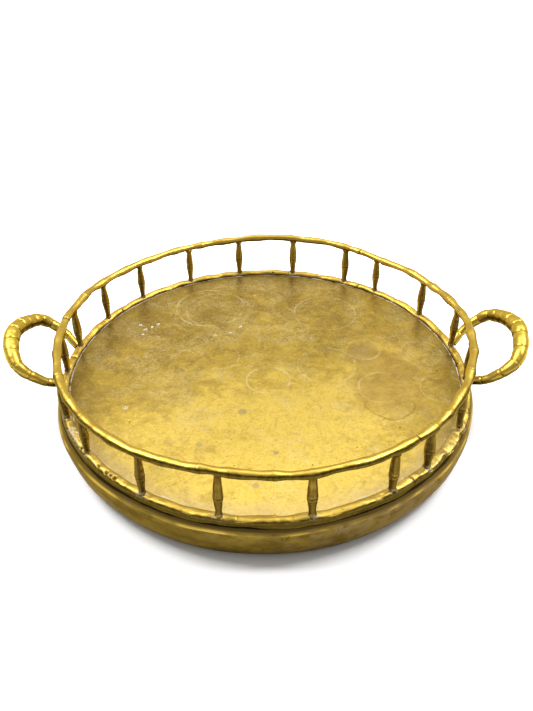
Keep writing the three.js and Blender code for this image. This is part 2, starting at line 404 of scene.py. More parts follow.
# Grey spots where the metal is stained: place, size and strength.
GREY_SPOTS = [
    (-16, -51, 3.0, 0.6), (-6, -122, 1.5, 0.5), (-50, -119, 1.4, 0.5), (7, -93, 1.2, 0.8),
    (77, 24, 9.0, 0.16), (18, 128, 5.0, 0.16), (-1, 133, 5.0, 0.2), (-44, -84, 1.6, 0.5),
]
# Single dark pits in the floor: place and size.
FLOOR_PITS = [
    (-93, -61, 0.9), (-86, 46, 0.8), (109, -16, 0.8), (91, -69, 0.9), (129, -5, 1.0), (-61, -92, 0.7),
    (30, -104, 0.8), (-20, -104, 0.7), (60, -88, 0.7), (-70, -30, 0.6), (15, 30, 0.5), (55, 50, 0.6),
]


def floor_marks(m, axes, patches, radius):
    """Masks of the marks on the floor: rings, flecks, grey spots and dark pits."""
    ring = 0.0
    for x, y, size, strength in RING_MARKS:
        away = m.add(m.distance(axes, x, y), m.about(patches, 0.5, 4 * MM))
        line = m.math("ABSOLUTE", m.math("SUBTRACT", away, size * MM))
        ring = m.most(ring, m.ramp(line, 1.25 * MM, 0.2 * MM, 0.0, strength))
    ring = m.times(ring, m.ramp(m.noise(18, 4, 0.65), 0.41, 0.60, 0.10, 1.0))
    fleck = 0.0
    for x, y, size in FLECKS:
        near = m.ramp(m.distance(axes, x, y), (size + 0.7) * MM, (size - 0.5) * MM)
        fleck = m.most(fleck, near)
    fleck = m.times(fleck, m.ramp(m.noise(1.5, 3), 0.46, 0.52))
    # Dried polish in the broken line where the floor meets the lower rail.
    crease = m.math("ABSOLUTE", m.math("SUBTRACT", radius, 144.35 * MM))
    broken = m.add(m.noise(11, 5, 0.75), m.ramp(axes[1], -0.08, 0.0, -0.12, 0.0))
    crease = m.times(m.ramp(crease, 0.70 * MM, 0.20 * MM), m.ramp(broken, 0.38, 0.54), 0.75)
    fleck = m.most(fleck, crease)
    grey = 0.0
    for x, y, size, strength in GREY_SPOTS:
        away = m.add(m.distance(axes, x, y), m.about(patches, 0.5, 5 * MM))
        grey = m.most(grey, m.ramp(away, (size + 0.6) * MM, (size - 0.6) * MM, 0.0, strength))
    pit = m.times(m.pits(3.3, 0.42, 0.15), m.ramp(axes[1], -0.02, -0.10, 0.12, 0.8))
    for x, y, size in FLOOR_PITS:
        pit = m.most(pit, m.ramp(m.distance(axes, x, y), size * MM, size * 0.5 * MM))
    return ring, fleck, grey, pit


def floor_colours(m, axes, radius, mottle, patches):
    """Bright at the front and in the middle, dull at the back and on the left."""
    clouds = m.noise(55, 3, 0.55, distortion=0.6)
    smears = m.noise(15, 6, 0.68, m.stretch((0.90, 1.1, 1.0), 0.12), 1.2)
    # Brightest in front of the middle: a painted reflection, set by place on the floor.
    # The clouds, smears and patches added to it are the floor's own tone.
    painted_reflection_and_tone = m.ramp(m.distance(axes, 4, -95), 0.190, 0.015, 0.0, 1.08)
    at_right = m.times(m.ramp(axes[0], 0.03, 0.11), m.ramp(axes[1], -0.08, -0.02))
    painted_reflection_and_tone = m.add(painted_reflection_and_tone, m.times(at_right, 0.30), m.ramp(axes[0], 0.04, 0.12, 0.0, -0.06))
    painted_reflection_and_tone = m.add(painted_reflection_and_tone, m.about(clouds, 0.5, 0.9), m.about(smears, 0.5, 1.9), m.about(patches, 0.5, 1.0))
    colour = m.mix(m.ramp(painted_reflection_and_tone, -0.15, 0.5), dimmed(0.49, 0.322, 0.066), dimmed(0.80, 0.540, 0.086))
    colour = m.mix(m.ramp(painted_reflection_and_tone, 0.40, 1.00), colour, dimmed(1.15, 0.815, 0.145))
    colour = m.mix(m.ramp(mottle, 0.48, 0.70, 0.0, 0.20), colour, dimmed(0.50, 0.33, 0.070))
    grain = m.noise(1.7, 5, 0.85)
    colour = m.mix(m.ramp(grain, 0.49, 0.66, 0.0, 0.55), colour, dimmed(0.45, 0.29, 0.060))
    colour = m.mix(m.ramp(grain, 0.49, 0.36, 0.0, 0.50), colour, CHALK)
    # Pale curling veins in the dull parts, left by drying polish.
    veins = 0.0
    for size, bend in ((11, 2.2), (6, 1.6)):
        vein = m.math("ABSOLUTE", m.about(m.noise(size, 4, 0.62, distortion=bend), 0.5, 1.0))
        veins = m.most(veins, m.ramp(vein, 0.030, 0.004))
    where = m.ramp(m.add(m.noise(34, 3, 0.6), m.times(painted_reflection_and_tone, -0.10)), 0.42, 0.56)
    colour = m.mix(m.times(veins, where, 0.55), colour, CHALK)
    scratch = m.noise(1.4, 4, 0.7, m.stretch((0.12, 1.0, 1.0), 0.5))
    colour = m.mix(m.ramp(scratch, 0.57, 0.72, 0.0, 0.14), colour, BROWN)
    scratch = m.noise(1.5, 4, 0.7, m.stretch((1.0, 0.12, 1.0), -0.35))
    colour = m.mix(m.ramp(scratch, 0.57, 0.72, 0.0, 0.14), colour, CHALK)
    # A browner haze in small clouds.
    haze = m.noise(8, 5, 0.70, distortion=0.9)
    colour = m.mix(m.ramp(haze, 0.52, 0.66, 0.0, 0.38), colour, dimmed(0.62, 0.415, 0.125))
    colour = brown_stain(m, axes, patches, colour)
    # Near the rail the floor is brown at the back, and grey with dried polish at the front.
    edge = m.ramp(m.add(radius, m.about(patches, 0.5, 18 * MM)), 0.130, 0.147, 0.0, 0.50)
    at_front = m.ramp(axes[1], -0.04, -0.11)
    edge_colour = m.mix(at_front, BROWN, dimmed(0.66, 0.50, 0.27))
    return m.mix(edge, colour, edge_colour)


def brown_stain(m, axes, patches, colour):
    """A long brown stain right of the middle, its near end edged by a darker line."""
    across = m.math("ABSOLUTE", m.about(axes[0], 0.088, 1.0))
    along = m.math("ABSOLUTE", m.about(axes[1], -0.012, 0.62))
    away = m.add(m.most(across, along), m.about(patches, 0.5, 18 * MM))
    colour = m.mix(m.ramp(away, 0.030, 0.016, 0.0, 0.50), colour, dimmed(0.52, 0.310, 0.090))
    reach = m.add(m.distance(axes, 88, -42), m.about(patches, 0.5, 9 * MM))
    line = m.math("ABSOLUTE", m.math("SUBTRACT", reach, 0.0175))
    line = m.times(m.ramp(line, 0.0011, 0.0002), m.ramp(axes[1], -0.038, -0.050))
    return m.mix(m.times(line, 0.40), colour, BROWN)


# Scratches in the front of the side: the ends as x and z, half width and strength, in mm.
SIDE_SCRATCHES = [
    (8.9, 26.6, 10.0, 24.0, 0.32, 1.0), (13.6, 27.2, 11.9, 24.8, 0.36, 1.0),
    (76.4, 24.4, 77.4, 20.4, 0.34, 0.8), (77.4, 20.4, 79.2, 18.6, 0.34, 0.9),
    (79.2, 18.6, 81.0, 20.6, 0.34, 0.7), (43.4, 27.4, 42.2, 22.3, 0.40, 0.6),
    (47.8, 27.6, 44.0, 25.2, 0.35, 0.6), (-5.3, 22.9, -4.7, 22.3, 0.35, 0.9),
    (-2.8, 20.5, -2.5, 19.9, 0.35, 0.9), (-72.0, 24.5, -68.5, 21.0, 0.30, 0.5),
]


def scratches(m, axes):
    """1 along each scratch in the front of the side, 0 away from it."""
    total = 0.0
    for x0, z0, x1, z1, half_width, strength in SIDE_SCRATCHES:
        span_x, span_z = x1 - x0, z1 - z0
        length = math.hypot(span_x, span_z)
        along_x, along_z = span_x / length, span_z / length
        dx = m.math("SUBTRACT", axes[0], x0 * MM)
        dz = m.math("SUBTRACT", axes[2], z0 * MM)
        along = m.add(m.times(dx, along_x), m.times(dz, along_z))
        half = length / 2 * MM
        off_end = m.math("SUBTRACT", m.math("ABSOLUTE", m.math("SUBTRACT", along, half)), half)
        off_line = m.math("ABSOLUTE", m.math("SUBTRACT", m.times(dx, along_z), m.times(dz, along_x)))
        away = m.most(off_end, off_line)
        total = m.most(total, m.ramp(away, half_width * MM, half_width * 0.3 * MM, 0.0, strength))
    return m.times(total, m.ramp(axes[1], -0.100, -0.101))


def side_colours(m, axes, mottle, patches):
    """The bulging side: tarnished brown and olive, drawn out round the tray by the spinning."""
    drawn = m.noise(7, 5, 0.65, m.stretch((0.30, 0.30, 1.1)))
    tarnish = m.add(m.times(patches, 0.5), m.times(drawn, 0.5))
    colour = m.mix(m.ramp(tarnish, 0.40, 0.60), dimmed(0.135, 0.088, 0.016), dimmed(0.285, 0.190, 0.034))
    colour = m.mix(m.ramp(mottle, 0.50, 0.72, 0.0, 0.35), colour, BROWN)
    colour = m.mix(m.ramp(m.noise(1.6, 5, 0.8), 0.50, 0.66, 0.0, 0.45), colour, DARK_TARNISH_AND_SHADE)
    # Greyer patches: the patches are the metal's own bloom, and their lean to the right is a painted
    # reflection.
    bloom_and_reflection = m.add(m.noise(9, 5, 0.7), m.ramp(axes[0], -0.04, 0.10, -0.10, 0.10))
    colour = m.mix(m.ramp(bloom_and_reflection, 0.46, 0.60, 0.0, 0.66), colour, dimmed(0.29, 0.200, 0.100))
    # Dark brown blotches, more of them at the right.
    blotch = m.add(m.noise(11, 5, 0.72, distortion=0.8), m.ramp(axes[0], -0.02, 0.10, -0.03, 0.03))
    colour = m.mix(m.ramp(blotch, 0.52, 0.62, 0.0, 0.75), colour, dimmed(0.120, 0.074, 0.022))
    # Darker towards the bottom, where the side curves under: painted shade.
    colour = m.mix(m.ramp(axes[2], 0.009, 0.001, 0.0, 0.6), colour, DARK_TARNISH_AND_SHADE)
    cove = m.ramp(m.add(axes[2], m.about(patches, 0.5, 1 * MM)), 0.0283, 0.0291, 0.0, 0.85)
    colour = m.mix(cove, colour, dimmed(0.23, 0.150, 0.036))
    # A painted highlight along the ridge in places, strongest at the front left.
    ridge_distance = m.math("ABSOLUTE", m.math("SUBTRACT", axes[2], 0.0279))
    ridge_highlight = m.ramp(m.noise(30, 2), 0.42, 0.62, 0.15, 0.8)
    ridge_highlight = m.most(ridge_highlight, m.ramp(m.distance(axes, -38, -148), 0.021, 0.012))
    colour = m.mix(m.times(m.ramp(ridge_distance, 0.0011, 0.0003), ridge_highlight), colour, BRIGHT)
    # The dark line in the gap under the lip of the lower rail: painted shadow, with some grime.
    gap = m.add(axes[2], m.about(m.noise(30, 4, 0.6), 0.5, 2.2 * MM))
    gap = m.ramp(gap, 0.0307, 0.0313, 0.0, 0.92)
    return m.mix(gap, colour, GRIME_AND_SHADE)


def pan_brass():
    """The pan: a bright floor with stains, scratches and wear, brighter at the front by a painted
    reflection, and a dull tarnished side.
    """
    m = Maker("pan_brass")
    axes = m.split(m.place)
    radius = m.distance(axes, 0, 0)
    patches = m.noise(22, 4, 0.55)
    mottle = m.noise(4.5, 4, 0.6)
    on_floor = m.ramp(axes[2], (FLOOR_Z - 1.0) * MM, (FLOOR_Z - 0.4) * MM)
    ring, fleck, grey, floor_pit = floor_marks(m, axes, patches, radius)
    fleck = m.times(fleck, on_floor)
    floor = floor_colours(m, axes, radius, mottle, patches)
    floor = m.mix(m.times(ring, 0.75), floor, CHALK)
    floor = m.mix(grey, floor, dimmed(0.46, 0.38, 0.22))
    side = side_colours(m, axes, mottle, patches)
    colour = m.mix(on_floor, side, floor)
    dirt = m.most(m.times(floor_pit, on_floor), m.times(m.pits(6, 0.35, 0.08), 0.7))
    dirt = m.most(dirt, m.times(m.pits(5.0, 0.32, 0.11), 0.55))
    dirt = m.most(dirt, scratches(m, axes))
    colour = m.mix(m.times(dirt, 0.80), colour, GRIME_AND_SHADE)
    colour = m.mix(fleck, colour, DRIED_POLISH)
    # Rougher towards the back.
    rough = m.add(m.ramp(mottle, 0.3, 0.75, 0.32, 0.40), m.ramp(axes[1], 0.02, 0.12, 0.0, 0.07))
    rough = m.add(rough, m.ramp(on_floor, 0.0, 1.0, 0.09, 0.0))
    rough = m.math("ADD", rough, m.times(fleck, 0.35), clamp=True)
    normal = m.bump(m.noise(36, 2, 0.5), 1.6, 0.15)
    normal = m.bump(mottle, 0.06, 0.35, normal)
    normal = m.bump(m.times(dirt, -1.0), 0.15, 0.6, normal)
    return m.finish(colour, rough, normal, m.ramp(fleck, 0.2, 0.7, 1.0, 0.0))


PAN_BRASS = pan_brass()
# The colour after the top and middle ones is the painted shade on a piece's lower faces.
LOWER_RAIL_BRASS = cast_brass("lower_rail_brass", BRIGHT, GOLD, DARK_TARNISH_AND_SHADE, (0.28, 0.80), 0.42, 0.42)
TOP_RAIL_BRASS = cast_brass("top_rail_brass", BRIGHT, GOLD, DARK_TARNISH_AND_SHADE, (0.16, 0.64), 0.34, 0.58)
BALUSTER_SHADE_COLOUR = dimmed(0.13, 0.080, 0.012)
BALUSTER_BRASS = cast_brass(
    "baluster_brass", GOLD, GOLD, BALUSTER_SHADE_COLOUR, (-0.55, 0.35), 0.32, 0.55,
)
RIVET_BRASS = cast_brass("rivet_brass", GOLD, OLIVE, DARK_TARNISH_AND_SHADE, (0.1, 0.5), 0.38)
HANDLE_TOP = dimmed(0.86, 0.585, 0.085)
HANDLE_SHADE_COLOUR = dimmed(0.10, 0.064, 0.009)
HANDLE_BRASS = cast_brass("handle_brass", HANDLE_TOP, HANDLE_TOP, HANDLE_SHADE_COLOUR, (-0.10, 0.42), 0.34)


# ---------------------------------------------------------------- pan
def pan_profile():
    """Outside, foot and inside of the sheet, from the middle of the floor back to its underside."""
    floor = [(r, FLOOR_Z) for r in np.linspace(1.0, PAN_EDGE_R - 2.2, 90)]
    corner_turn = np.linspace(0, math.pi / 2, 7)
    corner_r = PAN_EDGE_R - 1.2 + 1.2 * np.sin(corner_turn)
    corner = list(zip(corner_r, FLOOR_Z - 1.2 + 1.2 * np.cos(corner_turn)))
    t = np.linspace(0.12, 1, 14)
    cove_r = PAN_EDGE_R + (SHOULDER_R - PAN_EDGE_R - 0.2) * smoothstep(0, 1, t) ** 1.4
    cove_top = FLOOR_Z - 1.4
    cove = list(zip(cove_r, cove_top - (cove_top - SHOULDER_Z - 0.3) * t))
    turn = np.linspace(0.02, math.pi / 2, 44)
    belly = [(SHOULDER_R + 0.35, SHOULDER_Z - 0.3)]
    belly += list(zip(FOOT_R + (BELLY_R - FOOT_R) * np.cos(turn), BELLY_Z * (1 - np.sin(turn))))
    outside = floor + corner + cove + belly
    foot = [(r, 0.0) for r in np.linspace(FOOT_R - 1.5, FOOT_INNER_R + 0.5, 8)]
    foot += [(FOOT_INNER_R, 0.25), (FOOT_INNER_R, SHEET - 0.25), (FOOT_INNER_R + 0.5, SHEET)]
    foot += [(FOOT_R - 1.5, SHEET)]
    turn = np.linspace(math.pi / 2 - 0.12, 0.05, 26)
    wall_r = FOOT_R - 0.2 + (BELLY_R - FOOT_R - 1.1) * np.cos(turn)
    wall = list(zip(wall_r, SHEET + (BELLY_Z - SHEET) * (1 - np.sin(turn))))
    upper = [(SHOULDER_R - 1.2, SHOULDER_Z - 0.6), (151.2, 29.6), (149.2, 31.2), (148.4, 33.2)]
    upper += [(147.8, FLOOR_Z - SHEET)]
    under = [(r, FLOOR_Z - SHEET) for r in np.linspace(146, 1.0, 40)]
    return np.array(outside + foot + wall + upper + under)


def build_pan():
    """The profile turned round the middle, then knocked out of true."""
    profile = pan_profile()
    angles = np.arange(SIDES_ROUND_PAN) / SIDES_ROUND_PAN * TAU
    r, z = profile[:, 0][:, None], profile[:, 1][:, None]
    points = np.stack([r * np.cos(angles), r * np.sin(angles), z + 0 * angles], -1)
    # Knocks and hand work: the side is uneven, the floor barely.
    outward = radial(angles)[None]
    on_side = smoothstep(FLOOR_Z - 4, FLOOR_Z - 10, z) * smoothstep(0.5, 6, z)
    knocks = 0.26 * wobble(points, 60, 11) + 0.07 * wobble(points, 22, 12)
    points = points - outward * ((knocks - 0.20) * on_side)[..., None]
    on_floor = smoothstep(FLOOR_Z - SHEET - 0.6, FLOOR_Z - SHEET + 0.1, z) * smoothstep(143, 120, r)
    points[..., 2] += on_floor * (0.10 * wobble(points, 75, 13) + 0.03 * wobble(points, 24, 14) - 0.12)
    return make_piece("spun_pan", points, PAN_BRASS, "pan")


# ---------------------------------------------------------------- rails
def cane_nodes(length, spacing, seed):
    """Places of the bamboo nodes along a length, unevenly spaced as hand work is."""
    rng = np.random.default_rng(seed)
    places = []
    at = rng.uniform(0.3, 0.8) * spacing
    while at < length - 0.3 * spacing:
        places.append(at)
        at += spacing * rng.uniform(0.7, 1.35)
    return np.array(places)


def cane_shape(s, places, seed, swell, ring):
    """Growth of a cane's section along it, and how deep in a node's groove each place is."""
    rng = np.random.default_rng(seed)
    edges = np.concatenate([[s[0] - 8], places, [s[-1] + 8]])
    grow = np.ones_like(s)
    for low, high in zip(edges[:-1], edges[1:]):
        inside = (s >= low) & (s <= high)
        t = (s[inside] - low) / (high - low)
        lean = rng.uniform(0.7, 1.4)
        grow[inside] += swell * rng.uniform(0.5, 1.2) * (0.5 - np.sin(math.pi * t ** lean) ** 1.4)
    groove = np.zeros_like(s)
    for place in places:
        depth = rng.uniform(0.15, 1.0) ** 1.6
        grow += ring * depth * (bump(s - place - 1.1, 0.9) + bump(s - place + 1.1, 0.9))
        grow -= ring * depth * bump(s - place, 0.45)
        groove = np.maximum(groove, depth * bump(s - place, 0.4))
    return grow, groove


def rail_angles(section):
    half_seam = SEAM_GAP / 2 / GALLERY_R
    low = math.radians(SEAMS_DEG[section]) + half_seam
    high = math.radians(SEAMS_DEG[section + 1]) - half_seam
    return np.linspace(low, high, int((high - low) * GALLERY_R / RAIL_STEP))


def top_rail_line(angles):
    radius = GALLERY_R + RAIL_WANDER * np.sin(5 * angles + 0.6)
    z = TOP_RAIL_Z + RAIL_WANDER * np.sin(4 * angles + 2.1)
    return np.stack([radius * np.cos(angles), radius * np.sin(angles), z], -1)


def build_top_rail(section):
    """One length of cast bamboo cane, bent a little out of true."""
    angles = rail_angles(section)
    s = (angles - angles[0]) * GALLERY_R
    centres = top_rail_line(angles)
    centres = centres + radial(angles) * (0.50 * wobble(centres, 46, 21))[:, None]
    centres = centres + UP * (0.42 * wobble(centres, 40, 31))[:, None]
    at_front = nearness_to_front(angles)
    centres = centres + (0.6 * radial(angles) - 0.6 * UP) * at_front[:, None]
    grow, groove = cane_shape(s, cane_nodes(s[-1], 24, 41 + section), 51 + section, 0.22, 0.05)
    ends = np.minimum(s, s[-1] - s)
    grow = grow - 0.10 * bump(ends, 1.0)
    groove = np.maximum(0.6 * groove, 0.7 * bump(ends, 0.5))
    ups = np.tile(UP, (len(angles), 1))
    relief = [(0.17, 18, 61), (0.04, 6, 62)]
    half_width, half_height = TOP_RAIL_HALF_WIDTH * grow, TOP_RAIL_HALF_HEIGHT * grow
    points = tube(centres, radial(angles), ups, half_width, half_height, 40, relief)
    name = f"top_rail_{section + 1}"
    return make_piece(f"{name}_cane", points, TOP_RAIL_BRASS, name, groove[:, None], 0.1)


# Outline of the lower rail, outward and up from the floor at the gallery's radius:
# a half-round crest, a waist, and a lip over the corner of the pan.
LOWER_OUTLINE = [
    (-3.15, 0.1), (-3.2, 0.6), (-3.0, 1.3), (-2.5, 2.0), (-1.6, 2.55), (-0.6, 2.85), (0.4, 2.9),
    (1.3, 2.65), (2.2, 2.1), (2.8, 1.2), (3.05, 0.2), (3.1, -0.7), (3.15, -1.15), (3.35, -1.4),
    (3.5, -1.8), (3.45, -2.3), (3.1, -2.65), (2.5, -2.7), (1.95, -2.5), (1.85, -1.6), (1.8, -0.5),
    (1.75, 0.1), (0.0, 0.1), (-3.15, 0.1),
]


# Casting holes at the front left of the lower rail: angle and size.
CASTING_HOLES = [(225.1, 1.2), (228.5, 1.8), (230.0, 1.3), (231.4, 1.9), (216.8, 1.2)]


def crust_on(angles):
    """How crusted the casting is: most at the front right, and less at the left."""
    at_right = bump(degrees_from(angles, FRONT_RIGHT_DEG), 22)
    return np.maximum(at_right, 0.75 * bump(degrees_from(angles, 207), 24))


def residue_on(angles, centres):
    """Dried polish and flux: left of the front, on the crust and round the balusters' feet."""
    # It begins sharply at this angle and thins out towards the front.
    residue = 0.7 * bump((np.degrees(angles) - 208) % 360, 6)
    residue = residue + 0.24 * crust_on(angles)
    for number in range(1, BALUSTERS + 1):
        low, high = box_mm(f"baluster_{number}")
        middle = (low + high) / 2
        away = np.hypot(centres[:, 0] - middle[0], centres[:, 1] - middle[1])
        residue = np.maximum(residue, 0.5 * bump(away, 4.0))
    return residue


def build_lower_rail(section):
    """One length of half-round cane with a lip, swelling between its nodes."""
    angles = rail_angles(section)
    outline = arc_points(LOWER_OUTLINE, 53)[:-1]
    out, up = outline[None, :, 0], outline[None, :, 1]
    s = (angles - angles[0]) * GALLERY_R
    grow, groove = cane_shape(s, cane_nodes(s[-1], 25, 71 + section), 81 + section, -0.30, 0.07)
    ends = np.minimum(s, s[-1] - s)
    grow = grow - 0.12 * bump(ends, 1.2)
    groove = np.maximum(0.7 * groove, 0.8 * bump(ends, 0.6))
    at_front = nearness_to_front(angles)
    centres = on_circle(GALLERY_R, angles, FLOOR_Z) + radial(angles) * (FRONT_OUT * at_front)[:, None]
    above = smoothstep(0.3, 1.6, up)
    inner = smoothstep(-1.5, -3.0, out)
    lip = smoothstep(-0.6, -1.6, up) * smoothstep(2.2, 3.0, out)
    swell = (grow - 1)[:, None]
    ups = up * (1 + (swell - 0.36 * at_front[:, None]) * above)
    lip_wave = 0.72 * wobble(centres, 52, 91) + 0.20 * wobble(centres, 16, 92)
    ups = ups + lip * (lip_wave - 0.45 - 0.25 * at_front)[:, None]
    outs = out * (1 + 0.45 * swell * above) + inner * (0.30 * wobble(centres, 17, 93))[:, None]
    outs = outs + lip * (0.25 * wobble(centres, 23, 95))[:, None]
    # At the front right the rail spreads into flat leaves, pinched at the nodes.
    leaf = bump(degrees_from(angles, FRONT_RIGHT_DEG + 5), 17)
    leaf = leaf * np.abs(np.sin(math.pi * (s - 4) / 26)) ** 0.6
    outs = outs + (2.2 * leaf)[:, None] * smoothstep(-0.5, 2.2, out) * smoothstep(-1.9, -0.4, up)
    ups = ups - (1.0 * leaf)[:, None] * above
    points = centres[:, None, :] + outs[..., None] * radial(angles)[:, None, :]
    points = points + ups[..., None] * UP
    crust = crust_on(angles)
    cast_bumps = 0.12 * wobble(points, 9, 97) + 0.06 * wobble(points, 4, 98)
    points[..., 2] += cast_bumps * above * (1 + 0.8 * crust)[:, None]
    waist = bump(up + 1.0, 0.45) * smoothstep(2.3, 2.9, out)
    foot = smoothstep(1.2, 0.3, up) * smoothstep(-2.4, -3.0, out)
    dirt = groove[:, None] * above + 0.35 * waist + 0.3 * foot
    residue = residue_on(angles, centres)[:, None] * above
    for hole_angle, hole_size in CASTING_HOLES:
        hole = on_circle(GALLERY_R + 1.6, math.radians(hole_angle), FLOOR_Z + 2.2)
        near = smoothstep(hole_size + 0.4, hole_size * 0.5, np.linalg.norm(points - hole, axis=2))
        points[..., 2] -= 0.7 * near
        dirt = np.maximum(dirt, near)
    name = f"lower_rail_{section + 1}"
    # Duller on the crust, and at the front by painted shade.
    tone = np.maximum(0.25 + 0.55 * at_front, 0.75 * crust)[:, None]
    return make_piece(f"{name}_cane", points, LOWER_RAIL_BRASS, name, dirt, tone, residue)


# ---------------------------------------------------------------- balusters
def baluster_axis(node):
    """Foot, direction and length of a baluster, and the directions outwards and across."""
    corners = cad_points(node)
    low_z, high_z = corners[:, 2].min(), corners[:, 2].max()
    low = corners[corners[:, 2] < low_z + 0.6].mean(0)
    high = corners[corners[:, 2] > high_z - 0.6].mean(0)
    # At the front the foot follows the lower rail.
    at_front = float(nearness_to_front(math.atan2(low[1], low[0])))
    low = low + at_front * (FRONT_OUT * low * [1, 1, 0] / np.hypot(low[0], low[1]) - 0.7 * UP)
    along = high - low
    length = np.linalg.norm(along)
    along = along / length
    out = np.array([low[0], low[1], 0.0])
    out = out - along * out.dot(along)
    out = out / np.linalg.norm(out)
    return low, along, length, out, np.cross(along, out)


def build_baluster(number):
    """A spindle with one bamboo node, a little bent, flattened and worn."""
    node = f"baluster_{number}"
    rng = np.random.default_rng(200 + number)
    start, along, length, out, across = baluster_axis(node)
    t = np.linspace(0, 1, 100)
    s = t * length
    foot, top = TENON, length - TENON
    clear = top - foot
    node_at = foot + (0.43 + rng.uniform(-0.03, 0.04)) * clear
    belly_at = foot + (0.60 + rng.uniform(-0.03, 0.03)) * clear
    radius = 1.95 + 0.98 * rng.uniform(0.9, 1.1) * bump(s - belly_at, 8.5)
    radius += 0.45 * bump(s - node_at + 3.0, 6.5)
    radius += 0.26 * (bump(s - node_at - 1.1, 0.8) + bump(s - node_at + 1.1, 0.8))
    radius -= 0.38 * bump(s - node_at, 0.55)
    radius += 0.5 * bump(s - foot, 0.9) + 0.8 * bump(s - top, 1.1)
    groove = 0.9 * bump(s - node_at, 0.5) + 0.8 * bump(s - foot, 0.8) + 0.8 * bump(s - top, 1.0)
    sides = 32
    theta = np.arange(sides) / sides * TAU
    facets = 1 + 0.07 * np.cos(2 * theta + rng.uniform(0, TAU))
    facets += 0.03 * np.cos(5 * theta + rng.uniform(0, TAU))
    # Darker stripes down the two sides that face along the rail: painted shade, with a little random
    # tone.
    shade_stripes = 0.5 + 0.5 * np.cos(2 * theta + rng.uniform(-0.5, 0.5))
    shade_stripes = 0.78 * smoothstep(0.10, 0.70, 1 - shade_stripes) + 0.22 * rng.uniform(0, 1, sides)
    bend = rng.uniform(-0.3, 0.3, size=2)
    centres = start + along * s[:, None]
    centres = centres + np.sin(math.pi * t)[:, None] * (bend[0] * out + bend[1] * across)
    ring = radius[:, None] * facets[None, :]
    points = centres[:, None, :] + (np.cos(theta) * ring)[..., None] * out
    points = points + (np.sin(theta) * ring)[..., None] * across
    away = points - centres[:, None, :]
    away = away / np.linalg.norm(away, axis=2, keepdims=True)
    points = points + away * (0.07 * wobble(points, 7, 210 + number))[..., None]
    dirt = np.maximum(groove[:, None], shade_stripes[None, :])
    residue = 0.5 * bump(s - foot, 1.2)[:, None]
    tone = rng.uniform(0.2, 0.9)
    return make_piece(f"{node}_spindle", points, BALUSTER_BRASS, node, dirt, tone, residue)


# ---------------------------------------------------------------- handles
def handle_line(outline, steps):
    """Centripetal Catmull-Rom curve through the loop's outline, in its sloping plane."""
    other = [(out, -half) for out, half in outline[:-1]][::-1]
    points = np.array(outline + other, float)
    points = np.vstack([2 * points[0] - points[1], points, 2 * points[-1] - points[-2]])
    curve = []
    for p0, p1, p2, p3 in zip(points, points[1:], points[2:], points[3:]):
        t0 = 0.0
        t1 = t0 + math.sqrt(np.linalg.norm(p1 - p0))
        t2 = t1 + math.sqrt(np.linalg.norm(p2 - p1))
        t3 = t2 + math.sqrt(np.linalg.norm(p3 - p2))
        t = np.linspace(t1, t2, 60, endpoint=False)[:, None]
        a1 = (t1 - t) / (t1 - t0) * p0 + (t - t0) / (t1 - t0) * p1
        a2 = (t2 - t) / (t2 - t1) * p1 + (t - t1) / (t2 - t1) * p2
        a3 = (t3 - t) / (t3 - t2) * p2 + (t - t2) / (t3 - t2) * p3
        b1 = (t2 - t) / (t2 - t0) * a1 + (t - t0) / (t2 - t0) * a2
        b2 = (t3 - t) / (t3 - t1) * a2 + (t - t1) / (t3 - t1) * a3
        curve.append((t2 - t) / (t2 - t1) * b1 + (t - t1) / (t2 - t1) * b2)
    return arc_points(np.vstack(curve + [points[-2:-1]]), steps)


# Nodes along a handle from its back end to its front end: share of its length, and depth.
HANDLE_RINGS = [
    (0.07, 0.5), (0.135, 0.6), (0.20, 0.4), (0.26, 0.35), (0.315, 0.4), (0.37, 0.5),
    (0.435, 0.9), (0.505, 1.0), (0.575, 1.0), (0.66, 0.8), (0.75, 0.6), (0.83, 0.7), (0.92, 0.5),
]


def handle_path(plane):
    """A right handle's middle line in space, and the directions outwards and off its plane."""
    slope = np.array([math.cos(HANDLE_TILT), 0, math.sin(HANDLE_TILT)])
    across = np.array([0.0, 1.0, 0.0])
    root = np.array([HANDLE_ROOT_R, 0, HANDLE_ROOT_Z])
    centres = root + plane[:, :1] * slope + plane[:, 1:] * across
    tangent = np.gradient(centres, axis=0)
    tangent = tangent / np.linalg.norm(tangent, axis=1, keepdims=True)
    face_up = np.cross(slope, across)
    outward = np.cross(tangent, face_up)
    outward = outward / np.linalg.norm(outward, axis=1, keepdims=True)
    return centres, outward, np.tile(face_up, (len(plane), 1))


